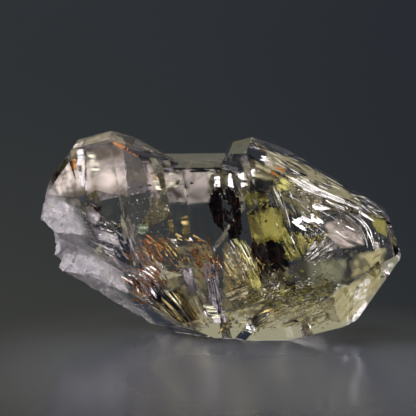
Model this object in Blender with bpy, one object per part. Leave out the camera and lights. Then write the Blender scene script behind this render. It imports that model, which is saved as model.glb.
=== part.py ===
"""Petroleum quartz: a clear, double-ended quartz grown from four crystals that share one axis.

Each crystal is a block cut back by its own faces: six prism faces round the axis, six sloping
faces at the right end and six at the left end. The four are joined in one solid, the broken
left end is hollowed by two shell-shaped chips, and a small flat under it is the spot that it
rests on. World units are metres, +Z is up and -Y is the front.
"""

import math

import bmesh
import bpy
from mathutils import Vector

MM = 0.001
OBJECT_NAME = "petroleum_quartz"
NODE_NAME = "quartz_crystal"

# The long axis that all four crystals share, running from the left end to the right end.
AXIS_RISE = math.radians(15.5)
AXIS_SWING_TO_FRONT = math.radians(10.0)
# Prism face 0 looks to the front and this far up; each next one is 60 degrees further over the top.
FIRST_FACE_ROLL = math.radians(20.0)
PRISM_FACES = 6
# The angle between the axis and the normal of a sloping end face of quartz.
END_FACE_ANGLE = math.radians(51.79)

BLOCK_SIZE = 60 * MM
SNAP = 1e-7

# Each crystal: its middle, how far its faces stand from that middle (all in millimetres, from
# face 0 over the top and round), and how far some of its faces lean to the right (in degrees).
LEFT_CRYSTAL = {
    "middle": (-8.6, -0.4, 9.6),
    "prism": (2.6, 5.3, 4.7, 6.8, 9.5, 5.9),
    "right_end": (3.3, 5.3, 5.7, 5.6, 12.9, 10.1),
    "left_end": (2.8, 4.8, 4.4, 6.4, 6.7, 3.4),
}
MIDDLE_CRYSTAL = {
    "middle": (-1.0, 0.0, 7.6),
    "prism": (3.1, 5.5, 5.6, 6.2, 7.9, 7.9),
    "prism_lean": (0, 12, 12, 0, 0, 0),
    "right_end": (7.7, 5.8, 7.0, 10.3, 10.5, 10.0),
    "left_end": (7.4, 9.2, 7.5, 8.1, 7.4, 7.6),
    "odd_faces": (((-0.29, -0.35, -0.89), 7.9),),
}
RIGHT_CRYSTAL = {
    "middle": (6.4, -1.0, 7.8),
    "prism": (4.9, 7.5, 6.5, 5.9, 6.7, 7.8),
    "right_end": (5.2, 4.5, 5.0, 7.5, 7.3, 7.5),
    "right_lean": (0, 3, 3, 0, 0, 0),
    "left_end": (4.9, 8.0, 7.2, 9.3, 9.8, 10.2),
    "odd_faces": (((0.96, 0.05, 0.29), 7.0), ((0.29, -0.02, 0.96), 5.9)),
}
TIP_CRYSTAL = {
    "middle": (9.0, -2.0, 6.8),
    "prism": (4.0, 2.6, 4.5, 6.5, 5.3, 6.1),
    "right_end": (1.6, 1.7, 3.2, 5.4, 4.6, 2.8),
    "left_end": (4.2, 5.6, 6.5, 7.3, 6.9, 4.6),
}

# The shell-shaped hollows where the left end broke off: middle and half sizes, in millimetres.
CHIPS = (
    ((-14.7, 0.1, 6.1), (2.5, 5.5, 2.5)),
    ((-12.6, -0.6, 2.1), (2.6, 4.0, 2.0)),
)
CHIP_SUBDIVISIONS = 4

FOOT_SLAB = (60 * MM, 60 * MM, 10 * MM)

QUARTZ_COLOUR = (0.88, 0.86, 0.80, 1.0)
QUARTZ_ROUGHNESS = 0.03
QUARTZ_REFRACTION = 1.544


def clear_scene():
    for obj in list(bpy.data.objects):
        bpy.data.objects.remove(obj, do_unlink=True)


def new_collection(name):
    collection = bpy.data.collections.new(name)
    bpy.context.scene.collection.children.link(collection)
    return collection


def shared_axis():
    level = math.cos(AXIS_RISE)
    return Vector(
        (
            level * math.cos(AXIS_SWING_TO_FRONT),
            -level * math.sin(AXIS_SWING_TO_FRONT),
            math.sin(AXIS_RISE),
        )
    )


def prism_normal(axis, number):
    """The direction that prism face `number` looks in."""
    front = axis.cross(Vector((0, 0, 1))).normalized()
    up = front.cross(axis)
    turn = FIRST_FACE_ROLL + 2 * math.pi * number / PRISM_FACES
    return front * math.cos(turn) + up * math.sin(turn)


def leaned(normal, axis, degrees):
    lean = math.radians(degrees)
    return (normal * math.cos(lean) + axis * math.sin(lean)).normalized()


def face_planes(crystal, axis):
    """Every face of one crystal as its outward direction and its distance from the middle."""
    upright = (0,) * PRISM_FACES
    planes = []
    for number in range(PRISM_FACES):
        side = prism_normal(axis, number)
        end_side = side * math.sin(END_FACE_ANGLE)
        end_axis = axis * math.cos(END_FACE_ANGLE)
        prism = leaned(side, axis, crystal.get("prism_lean", upright)[number])
        right = leaned(end_side + end_axis, axis, crystal.get("right_lean", upright)[number])
        left = end_side - end_axis
        planes.append((prism, crystal["prism"][number] * MM))
        planes.append((right, crystal["right_end"][number] * MM))
        planes.append((left, crystal["left_end"][number] * MM))
    for direction, distance in crystal.get("odd_faces", ()):
        planes.append((Vector(direction).normalized(), distance * MM))
    return planes


def cut_crystal(name, crystal, axis, material, collection):
    """A block cut back to the faces of one crystal."""
    middle = Vector(crystal["middle"]) * MM
    bm = bmesh.new()
    bmesh.ops.create_cube(bm, size=BLOCK_SIZE)
    bmesh.ops.translate(bm, verts=bm.verts, vec=middle)
    for direction, distance in face_planes(crystal, axis):
        cut = bmesh.ops.bisect_plane(
            bm,
            geom=bm.verts[:] + bm.edges[:] + bm.faces[:],
            dist=SNAP,
            plane_co=middle + direction * distance,
            plane_no=direction,
            clear_outer=True,
        )
        rim = [part for part in cut["geom_cut"] if isinstance(part, bmesh.types.BMEdge)]
        if rim:
            bmesh.ops.contextual_create(bm, geom=rim)
    bmesh.ops.recalc_face_normals(bm, faces=bm.faces)
    return finish_mesh(name, bm, material, collection)


def finish_mesh(name, bm, material, collection):
    mesh = bpy.data.meshes.new(name)
    bm.to_mesh(mesh)
    bm.free()
    mesh.materials.append(material)
    obj = bpy.data.objects.new(name, mesh)
    collection.objects.link(obj)
    return obj


def make_chip(name, middle, half_sizes, material, collection):
    """A rounded cutter that leaves the hollow of one broken-off flake."""
    bm = bmesh.new()
    bmesh.ops.create_icosphere(bm, subdivisions=CHIP_SUBDIVISIONS, radius=MM)
    bmesh.ops.scale(bm, vec=half_sizes, verts=bm.verts)
    bmesh.ops.translate(bm, vec=Vector(middle) * MM, verts=bm.verts)
    return finish_mesh(name, bm, material, collection)


def make_foot_slab(material, collection):
    """A slab whose top lies at height zero, to cut the flat that the crystal rests on."""
    bm = bmesh.new()
    bmesh.ops.create_cube(bm, size=1)
    bmesh.ops.scale(bm, vec=FOOT_SLAB, verts=bm.verts)
    bmesh.ops.translate(bm, vec=(0, 0, -FOOT_SLAB[2] / 2), verts=bm.verts)
    return finish_mesh("foot_cutter", bm, material, collection)


def add_boolean(obj, other, operation):
    modifier = obj.modifiers.new(other.name, "BOOLEAN")
    modifier.operation = operation
    modifier.solver = "EXACT"
    modifier.object = other
    other.hide_render = True
    other.display_type = "WIRE"


def quartz_material():
    material = bpy.data.materials.new("clear_quartz")
    material.use_nodes = True
    shader = material.node_tree.nodes["Principled BSDF"]
    shader.inputs["Base Color"].default_value = QUARTZ_COLOUR
    shader.inputs["Roughness"].default_value = QUARTZ_ROUGHNESS
    shader.inputs["Metallic"].default_value = 0.0
    shader.inputs["IOR"].default_value = QUARTZ_REFRACTION
    shader.inputs["Transmission Weight"].default_value = 1.0
    return material


def centre_over_origin(obj, stand):
    """Moves the whole group so that the middle of its box stands over the origin."""
    bpy.context.view_layer.update()
    graph = bpy.context.evaluated_depsgraph_get()
    corners = [Vector(corner) for corner in obj.evaluated_get(graph).bound_box]
    lowest = Vector(map(min, zip(*corners)))
    highest = Vector(map(max, zip(*corners)))
    middle = (lowest + highest) / 2
    stand.location = (-middle.x, -middle.y, -lowest.z)


def main():
    clear_scene()
    parts = new_collection(OBJECT_NAME)
    cutters = new_collection("cutters")
    material = quartz_material()
    axis = shared_axis()

    quartz = cut_crystal(NODE_NAME, LEFT_CRYSTAL, axis, material, parts)
    neighbours = {
        "middle_crystal": MIDDLE_CRYSTAL,
        "right_crystal": RIGHT_CRYSTAL,
        "tip_crystal": TIP_CRYSTAL,
    }
    helpers = []
    for name, crystal in neighbours.items():
        neighbour = cut_crystal(name, crystal, axis, material, cutters)
        add_boolean(quartz, neighbour, "UNION")
        helpers.append(neighbour)
    for number, (middle, half_sizes) in enumerate(CHIPS, start=1):
        chip = make_chip(f"chip_{number}", middle, half_sizes, material, cutters)
        add_boolean(quartz, chip, "DIFFERENCE")
        helpers.append(chip)
    foot = make_foot_slab(material, cutters)
    add_boolean(quartz, foot, "DIFFERENCE")
    helpers.append(foot)

    stand = bpy.data.objects.new("stand", None)
    cutters.objects.link(stand)
    for obj in [quartz, *helpers]:
        obj.parent = stand
    centre_over_origin(quartz, stand)


main()
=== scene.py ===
import math
import random

import bmesh
import bpy
from mathutils import Matrix, Vector, noise
from mathutils.bvhtree import BVHTree


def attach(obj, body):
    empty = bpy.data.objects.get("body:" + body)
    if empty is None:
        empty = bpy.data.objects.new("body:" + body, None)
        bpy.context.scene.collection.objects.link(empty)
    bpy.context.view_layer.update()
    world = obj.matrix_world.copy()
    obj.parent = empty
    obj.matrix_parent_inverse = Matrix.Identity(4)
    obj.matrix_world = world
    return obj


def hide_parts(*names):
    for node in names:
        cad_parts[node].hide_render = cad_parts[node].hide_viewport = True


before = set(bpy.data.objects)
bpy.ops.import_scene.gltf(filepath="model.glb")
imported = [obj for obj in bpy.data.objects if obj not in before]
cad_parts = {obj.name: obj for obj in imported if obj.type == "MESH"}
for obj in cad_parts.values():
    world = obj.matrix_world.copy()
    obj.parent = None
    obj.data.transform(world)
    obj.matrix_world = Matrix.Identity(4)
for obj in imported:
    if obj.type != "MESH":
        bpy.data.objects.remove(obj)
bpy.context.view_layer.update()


# The quartz
# One clear crystal group, grown in one piece from four crystals that share an axis. Its faces
# are the CAD's own, cut here into fine mesh to carry the growth steps, the faint ripples of the
# prism faces and the rough, frosted left end where it broke off its rock.
MM = 0.001
AXIS_RISE = math.radians(15.5)
AXIS_SWING_TO_FRONT = math.radians(10.0)
QUARTZ_REFRACTION = 1.544
WELD_DISTANCE = 1e-6
SAME_FACE_ANGLE = 0.0005
FINE_CUTS = 8
FINE_FILL = 0.8
QUARTZ_CREASE = 14

# Growth lines and broad steps run across the prism faces. The end faces only undulate.
PRISM_LEAN = 0.15
LINE_HEIGHT = 0.006 * MM
LINES_PER_MM = 3.0
LINES_CHANGE_BY_FACE = 5
STEP_HEIGHT = 0.025 * MM
STEPS_PER_MM = 0.55
STEPS_CHANGE_BY_FACE = 3
STEPS_SLANT = 0.05
END_SWELL_HEIGHT = 1.5 * LINE_HEIGHT
FOOT_RIM = 0.05 * MM

# The break: where it begins (in millimetres along x, at a height), and how rough it is.
FROST_EDGE = -8.6
FROST_EDGE_AT_HEIGHT = 5.0
FROST_EDGE_SLOPE = 0.70
FROST_EDGE_WANDER = 1.1
FROST_BLEND = 1.2
FROST_NONE_ABOVE = 12.2
FROST_FULL_BELOW = 9.0
LEAST_FROST = 0.75
BREAK_HEIGHT = 0.14 * MM
BREAK_SINK = 0.5
CHIPS_PER_MM_AND_SHARE = ((0.75, 1.0), (1.9, 0.4))
CHIP_SHUFFLE = 7.3
CHIP_TILT = 2.0
CHIP_SEED = 3

CLEAR_WHITE = (1, 1, 1, 1)
FROSTED_WHITE = (0.93, 0.90, 0.96, 1)
FROSTED_ROUGHNESS = 0.42
FROSTED_CLEARNESS = 0.22
GRIT_PER_METRE = 3200
GRIT_HEIGHT = 0.12 * MM

long_axis = Vector((
    math.cos(AXIS_RISE) * math.cos(AXIS_SWING_TO_FRONT),
    -math.cos(AXIS_RISE) * math.sin(AXIS_SWING_TO_FRONT),
    math.sin(AXIS_RISE),
))


def whole_faces(source):
    """The CAD solid with the triangles of each flat face joined and cut afresh."""
    mesh = source.data.copy()
    bm = bmesh.new()
    bm.from_mesh(mesh)
    bmesh.ops.remove_doubles(bm, verts=bm.verts, dist=WELD_DISTANCE)
    bmesh.ops.dissolve_limit(bm, angle_limit=SAME_FACE_ANGLE, verts=bm.verts, edges=bm.edges)
    bmesh.ops.triangulate(bm, faces=bm.faces)
    bm.to_mesh(mesh)
    bm.free()
    return mesh


def remeshed(mesh, mode, **settings):
    """A mesh after Blender's remesh modifier."""
    helper = bpy.data.objects.new("remesh_helper", mesh)
    bpy.context.scene.collection.objects.link(helper)
    remesh = helper.modifiers.new("remesh", "REMESH")
    remesh.mode = mode
    for setting, value in settings.items():
        setattr(remesh, setting, value)
    graph = bpy.context.evaluated_depsgraph_get()
    made = bpy.data.meshes.new_from_object(helper.evaluated_get(graph))
    bpy.data.objects.remove(helper)
    return made


def smoothstep(low, high, value):
    share = min(1.0, max(0.0, (value - low) / (high - low)))
    return share * share * (3 - 2 * share)


def wave(x, y, z, seed):
    """Soft noise; each seed reads another part of it."""
    return noise.noise(Vector((x + seed * 17.3, y - seed * 9.1, z + seed * 5.7)))


def swells(x, y, z, height, per_mm, seed):
    """Noise of one height and one width; places in millimetres."""
    return height * wave(x * per_mm, y * per_mm, z * per_mm, seed)


def growth_at(place, normal):
    """How far growth raised a face at a place."""
    x, y, z = place / MM
    if abs(normal.dot(long_axis)) >= PRISM_LEAN:
        return swells(x, y, z, height=END_SWELL_HEIGHT, per_mm=0.9, seed=4)
    along = place.dot(long_axis) / MM
    lines = wave(along * LINES_PER_MM, 0, normal.z * LINES_CHANGE_BY_FACE, seed=1)
    steps = wave(along * STEPS_PER_MM, normal.z * STEPS_CHANGE_BY_FACE, y * STEPS_SLANT, seed=2)
    return LINE_HEIGHT * lines + STEP_HEIGHT * steps


def frost_at(x, z):
    """How frosted the stone is at a place, from 0 clear to 1 frosted; places in millimetres."""
    edge = FROST_EDGE - FROST_EDGE_SLOPE * (z - FROST_EDGE_AT_HEIGHT)
    edge += swells(x, 0, z, height=FROST_EDGE_WANDER, per_mm=0.5, seed=3)
    reached = smoothstep(edge + FROST_BLEND, edge - FROST_BLEND, x)
    return reached * smoothstep(FROST_NONE_ABOVE, FROST_FULL_BELOW, z)


def chips_at(x, y, z):
    """The height of the broken surface where small chips of random tilt meet."""
    height = 0.0
    for per_mm, share in CHIPS_PER_MM_AND_SHARE:
        where = Vector((x, y, z)) * per_mm
        cell = noise.voronoi(where)[1][0]
        tilt = noise.noise_vector(cell * CHIP_SHUFFLE)
        height += share * (where - cell).dot(tilt) * CHIP_TILT
    return height


def break_at(x, y, z):
    """The height of the broken surface, with its chips and lumps."""
    return (
        swells(x, y, z, height=0.8, per_mm=1.1, seed=5) + chips_at(x, y, z)
        + swells(x, y, z, height=0.35, per_mm=3.1, seed=6) - BREAK_SINK
    )


def fill(tree, node, inputs):
    """Sets or links the inputs of a shader node."""
    for socket, value in inputs.items():
        if isinstance(value, bpy.types.NodeSocket):
            tree.links.new(value, node.inputs[socket])
        else:
            node.inputs[socket].default_value = value


def new_node(tree, kind, inputs, **settings):
    """Adds a shader node and returns its outputs."""
    node = tree.nodes.new(kind)
    for setting, value in settings.items():
        setattr(node, setting, value)
    fill(tree, node, inputs)
    return node.outputs


def new_finish(name):
    material = bpy.data.materials.new(name)
    material.use_nodes = True
    return material, material.node_tree, material.node_tree.nodes["Principled BSDF"]


def graded(tree, mask, low, high):
    """A value that goes from low to high where a mask goes from 0 to 1."""
    return new_node(
        tree, "ShaderNodeMapRange", {"To Min": low, "To Max": high, "Value": mask}
    )["Result"]


def new_piece(name, mesh, finish, crease=None):
    """A mesh with its finish as a piece that rides on the stone, smooth up to a crease angle."""
    mesh.materials.clear()
    mesh.materials.append(finish)
    mesh.shade_smooth()
    if crease is not None:
        mesh.set_sharp_from_angle(angle=math.radians(crease))
    piece = bpy.data.objects.new(name, mesh)
    bpy.context.scene.collection.objects.link(piece)
    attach(piece, "root")
    return piece


plain_mesh = whole_faces(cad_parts["quartz_crystal"])
solid = BVHTree.FromPolygons(
    [v.co for v in plain_mesh.vertices], [p.vertices[:] for p in plain_mesh.polygons]
)
fine_mesh = remeshed(
    plain_mesh, "SHARP", octree_depth=FINE_CUTS, scale=FINE_FILL, sharpness=1.0,
    use_remove_disconnected=False,
)
frost = fine_mesh.attributes.new("frost", "FLOAT", "POINT").data
# Without a seed, the tilts of the chips would differ from run to run.
noise.seed_set(CHIP_SEED)
for vertex in fine_mesh.vertices:
    place = vertex.co.copy()
    _, normal, _, _ = solid.find_nearest(place)
    x, y, z = place / MM
    frosted = frost_at(x, z)
    shift = growth_at(place, normal)
    if frosted > 0:
        shift += BREAK_HEIGHT * frosted * break_at(x, y, z)
    if place.z > FOOT_RIM:
        vertex.co = place + normal * shift
    cloud = smoothstep(-0.15, 0.25, swells(x, y, z, height=1.0, per_mm=1.6, seed=9))
    frost[vertex.index].value = frosted * (LEAST_FROST + (1 - LEAST_FROST) * cloud)

quartz_finish, tree, shader = new_finish("clear_quartz_finish")
frost_mask = new_node(tree, "ShaderNodeAttribute", {}, attribute_name="frost")["Fac"]
frost_colour = new_node(
    tree, "ShaderNodeMix", {"A": CLEAR_WHITE, "B": FROSTED_WHITE, "Factor": frost_mask},
    data_type="RGBA",
)["Result"]
in_the_stone = new_node(tree, "ShaderNodeTexCoord", {})["Object"]
grit = new_node(tree, "ShaderNodeTexNoise", {
    "Scale": GRIT_PER_METRE, "Detail": 5, "Roughness": 0.65, "Vector": in_the_stone,
})["Fac"]
frosted_grit = new_node(tree, "ShaderNodeMath", {0: grit, 1: frost_mask}, operation="MULTIPLY")
bump = new_node(tree, "ShaderNodeBump", {
    "Strength": 0.8, "Distance": GRIT_HEIGHT, "Height": frosted_grit["Value"],
})
# The plain values of clear quartz come first and stay in the sockets beneath their links.
fill(tree, shader, {"Base Color": CLEAR_WHITE, "Transmission Weight": 1.0})
fill(tree, shader, {
    "IOR": QUARTZ_REFRACTION,
    "Base Color": frost_colour,
    "Roughness": graded(tree, frost_mask, 0.0, FROSTED_ROUGHNESS),
    "Transmission Weight": graded(tree, frost_mask, 1.0, FROSTED_CLEARNESS),
    "Normal": bump["Normal"],
})

quartz = new_piece("quartz", fine_mesh, quartz_finish, QUARTZ_CREASE)
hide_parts("quartz_crystal")


# The bitumen clots
# Two lumps of black bitumen, sealed in when the quartz grew over them. The left one is a
# streaky film with a clear middle, the right one a solid lump with a red-brown edge. Each is
# made of pebbles laid along its grain and grown together. Whatever lies inside the stone is
# placed by the lens's line of sight, bent at the outer face that it is seen through.
LENS_HEIGHT_ANGLE = math.radians(9.0)
FRAME_WIDTH = 32.8 * MM
LENS_MM = 250.0
SENSOR_MM = 36.0
PHOTO_SIDE = 416
LOOK_AT = Vector((-0.8, 1.8, 9.3)) * MM

# Outlines are corners in the photo, grains are angles in it, and depths and pebbles are in
# millimetres.
CLOTS = {
    "bitumen_clot_1": dict(
        outline=[(213, 190), (218, 187), (224, 189), (229, 187), (236, 196), (240, 205), (241, 216),
                 (241, 228), (238, 237), (233, 238), (226, 232), (218, 226), (213, 218), (210, 208),
                 (209, 199)],
        clear=[(223, 186), (226, 190), (226, 198), (231, 208), (233, 219), (229, 232), (226, 236),
               (223, 226), (222, 215), (221, 202)],
        depth=4.2, grain=-76, pebble=0.17, seed=11,
    ),
    "bitumen_clot_2": dict(
        outline=[(252, 243), (260, 241), (268, 240), (276, 242), (282, 247), (285, 254), (283, 259),
                 (288, 262), (282, 265), (282, 272), (276, 268), (270, 271), (266, 277), (261, 274),
                 (257, 262), (252, 252)],
        clear=[],
        depth=3.4, grain=-60, pebble=0.24, seed=12,
    ),
}
CLOT_PEBBLES = 330
CLEAR_SHARE = 0.93
CLOT_DEPTH_STRAY = 0.22
CLOT_GRAIN_STRAY = 12
CLOT_VOXEL = 0.035
BITUMEN_BLACK = (0.003, 0.002, 0.004, 1)
BITUMEN_BROWN = (0.05, 0.012, 0.006, 1)

lens_distance = FRAME_WIDTH * LENS_MM / SENSOR_MM
lens_back = Vector((0, -math.cos(LENS_HEIGHT_ANGLE), math.sin(LENS_HEIGHT_ANGLE)))
lens_up = Vector((0, math.sin(LENS_HEIGHT_ANGLE), math.cos(LENS_HEIGHT_ANGLE)))
lens_right = Vector((1, 0, 0))
lens_at = LOOK_AT + lens_back * lens_distance


def looking(u, v):
    """The direction from the lens to a place in the photo."""
    pixel = FRAME_WIDTH / PHOTO_SIDE
    aim = LOOK_AT + (lens_right * (u - PHOTO_SIDE / 2) + lens_up * (PHOTO_SIDE / 2 - v)) * pixel
    return (aim - lens_at).normalized()


def window_at(u, v):
    """The outer face that a place in the photo is seen through."""
    hit, normal, _, _ = solid.ray_cast(lens_at, looking(u, v))
    return hit, normal


def sight(u, v, window):
    """Where the line of sight enters the quartz, and its direction inside."""
    hit, normal = window
    direction = looking(u, v)
    start = lens_at + direction * ((hit - lens_at).dot(normal) / direction.dot(normal))
    cosine = -direction.dot(normal)
    inner = math.sqrt(1 - (1 - cosine ** 2) / QUARTZ_REFRACTION ** 2)
    bent = direction / QUARTZ_REFRACTION + normal * (cosine / QUARTZ_REFRACTION - inner)
    return start, bent.normalized()


def within(u, v, depth, window):
    """The place inside the quartz that is seen at a place in the photo, some millimetres deep."""
    start, direction = sight(u, v, window)
    return start + direction * depth * MM


def middle_of(outline):
    us, vs = zip(*outline)
    return sum(us) / len(us), sum(vs) / len(vs)


def in_outline(u, v, outline):
    """Whether a place lies in an outline."""
    odd = False
    for (u1, v1), (u2, v2) in zip(outline, outline[1:] + outline[:1]):
        if (v1 > v) != (v2 > v) and u < (u2 - u1) * (v - v1) / (v2 - v1) + u1:
            odd = not odd
    return odd


def near_outline(rng, outline):
    """A random place in the box round an outline."""
    us, vs = zip(*outline)
    return rng.uniform(min(us), max(us)), rng.uniform(min(vs), max(vs))


def picture_turn(degrees):
    """The turn that lays a pebble's long side at an angle in the picture."""
    angle = math.radians(degrees)
    long_side = lens_right * math.cos(angle) + lens_up * math.sin(angle)
    short_side = lens_up * math.cos(angle) - lens_right * math.sin(angle)
    return Matrix((long_side, short_side, lens_back)).transposed()


def clot_pebbles(outline, clear, depth, grain, pebble, seed):
    """The place, half sizes and turn of each pebble of a clot; few lie in its clear middle."""
    rng = random.Random(seed)
    window = window_at(*middle_of(outline))
    pebbles = []
    while len(pebbles) < CLOT_PEBBLES:
        u, v = near_outline(rng, outline)
        if not in_outline(u, v, outline):
            continue
        if in_outline(u, v, clear) and rng.random() < CLEAR_SHARE:
            continue
        small = rng.uniform(0.5, 1.0) * pebble
        place = within(u, v, depth + rng.gauss(0, CLOT_DEPTH_STRAY), window)
        turn = picture_turn(grain + rng.gauss(0, CLOT_GRAIN_STRAY))
        half_sizes = (small * rng.uniform(1.2, 2.6), small * 0.6, small * 0.7)
        pebbles.append((place, half_sizes, turn))
    return pebbles


def grown_lump(name, pebbles, voxel):
    """Overlapping pebbles grown together into one closed mesh."""
    bm = bmesh.new()
    for place, half_sizes, turn in pebbles:
        for vertex in bmesh.ops.create_icosphere(bm, subdivisions=2, radius=1.0)["verts"]:
            scaled = Vector(c * h for c, h in zip(vertex.co, half_sizes)) * MM
            vertex.co = place + turn @ scaled
    mesh = bpy.data.meshes.new(name)
    bm.to_mesh(mesh)
    bm.free()
    return remeshed(mesh, "VOXEL", voxel_size=voxel * MM)


bitumen_finish, tree, shader = new_finish("bitumen_finish")
in_the_stone = new_node(tree, "ShaderNodeTexCoord", {})["Object"]
shade = new_node(tree, "ShaderNodeTexNoise", {"Scale": 1400, "Detail": 4, "Vector": in_the_stone})
tone = tree.nodes.new("ShaderNodeValToRGB")
black, brown = tone.color_ramp.elements
black.position = 0.42
black.color = BITUMEN_BLACK
brown.position = 0.68
brown.color = BITUMEN_BROWN
fill(tree, tone, {"Fac": shade["Fac"]})
fill(tree, shader, {
    "Roughness": 0.45, "Specular IOR Level": 0.12, "Base Color": tone.outputs["Color"],
})

for name, clot in CLOTS.items():
    clot_mesh = grown_lump(name, clot_pebbles(**clot), CLOT_VOXEL)
    new_piece(name, clot_mesh, bitumen_finish)


# The bitumen specks
# Loose crumbs of the same bitumen, shut in here and there as the faces grew over them. Each
# speck is a few small pebbles close together. All of them are one piece.
# Each row: its place in the photo, how far its pebbles stray there, its depth and its size.
SPECKS = (
    ((254, 213), 2.4, 2.2, 0.14), ((257, 211), 1.2, 2.2, 0.08), ((251, 217), 0.8, 2.2, 0.06),
    ((270, 205), 2.6, 2.0, 0.09), ((266, 221), 0.7, 1.4, 0.06), ((141, 187), 0.9, 1.6, 0.07),
    ((150, 185), 1.2, 1.6, 0.08), ((147, 191), 0.6, 1.8, 0.06), ((192, 183), 0.8, 1.6, 0.07),
    ((328, 252), 1.6, 1.4, 0.06), ((325, 256), 0.6, 1.4, 0.05), ((97, 208), 2.4, 1.6, 0.10),
    ((92, 206), 1.0, 1.6, 0.07), ((120, 229), 2.2, 1.6, 0.06), ((116, 226), 1.0, 1.6, 0.05),
    ((166, 268), 0.8, 1.4, 0.06), ((276, 262), 0.8, 2.6, 0.06), ((288, 266), 1.0, 2.8, 0.06),
    ((246, 232), 0.6, 2.6, 0.05), ((268, 281), 0.8, 2.4, 0.06), ((297, 286), 1.0, 1.8, 0.06),
    ((70, 250), 0.5, 0.8, 0.05), ((76, 256), 0.4, 0.8, 0.04), ((71, 227), 0.5, 0.8, 0.05),
    ((310, 230), 0.6, 1.6, 0.05), ((150, 253), 0.6, 1.6, 0.05), ((181, 226), 0.5, 1.6, 0.05),
)
SPECK_VOXEL = 0.03

rng = random.Random(13)
speck_pebbles = []
for (u, v), stray, depth, size in SPECKS:
    window = window_at(u, v)
    for _ in range(2 + int(stray * 5)):
        small = size * rng.uniform(0.5, 1.0)
        place = within(u + rng.gauss(0, stray), v + rng.gauss(0, stray * 0.6), depth, window)
        turn = picture_turn(rng.uniform(-90, 90))
        speck_pebbles.append((place, (small * 1.4, small * 0.8, small * 0.8), turn))
speck_mesh = grown_lump("bitumen_specks", speck_pebbles, SPECK_VOXEL)
new_piece("bitumen_specks", speck_mesh, bitumen_finish)


# The silver cracks
# Gaps of almost no width, opened when the quartz cracked inside. Their flat walls mirror the
# light like silver from some sides and vanish from others. Each is a thin closed plate: a
# sheet, a long narrow ribbon, or one flake of a cloud, as in a crack that has half healed.
SHEET_CELL = 0.06
SHEET_THICK = 0.012
RIBBON_THICK = 0.01
FLAKE_THICK = 0.008
SHEET_SKIN = 0.12
FLAKE_SKIN = 0.15
CRACK_CREASE = 50
GRAIN_REACH = 10
RIBBON_WANDER = 0.4
RIBBON_TAPER = 0.15
RIBBON_TIP = 0.03
LEAST_TAPER = 0.12
RIBBON_STEPS = 14
HAIR_STEPS = 7
BUNDLE_STRAY = 1.2
BUNDLE_DEPTH_STRAY = 0.15
FLAKE_SIDES = 5
FLAKE_TURN = 6.28
FLAKE_GAIN = 2.2
MOST_TRIES = 30
FULL_SHINE_AT = 0.3
# The way from a cell to its neighbour, and the two corners of the side that they share.
CELL_SIDES = (
    ((0, -1), (0, 0), (1, 0)), ((1, 0), (1, 0), (1, 1)),
    ((0, 1), (1, 1), (0, 1)), ((-1, 0), (0, 1), (0, 0)),
)

# Where a crack mirrors the line of sight to: its turn from the front to the right, and its
# height, which is 90 straight up and more than 90 leaning to the back.
UP = (0, 94)
UP_LEFT = (-8, 98)
LOW_BACK = (0, 105)
FRONT_FOOT = (1, 0)


def mirroring(sight_line, turn, height):
    """How a crack faces when it mirrors the line of sight to a turn and a height in degrees."""
    turn, height = math.radians(turn), math.radians(height)
    shine = Vector((
        math.sin(turn) * math.cos(height), -math.cos(turn) * math.cos(height), math.sin(height)
    ))
    return (shine - sight_line).normalized()


def shaken(shine, stray, rng):
    return shine[0] + rng.gauss(0, stray), shine[1] + rng.gauss(0, stray)


def buried(spot, skin):
    """Whether a place lies in the quartz, and at least some millimetres under its faces."""
    near, outward, _, distance = solid.find_nearest(spot)
    return (spot - near).dot(outward) < 0 and distance > skin * MM


def edge_distance(a, b, outline):
    """How far a place lies inside an outline."""
    spot = Vector((a, b))
    least = math.inf
    for (a1, b1), (a2, b2) in zip(outline, outline[1:] + outline[:1]):
        start, along = Vector((a1, b1)), Vector((a2 - a1, b2 - b1))
        share = min(1, max(0, (spot - start).dot(along) / along.length_squared))
        least = min(least, (spot - start - along * share).length)
    return least if in_outline(a, b, outline) else 0.0


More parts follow.
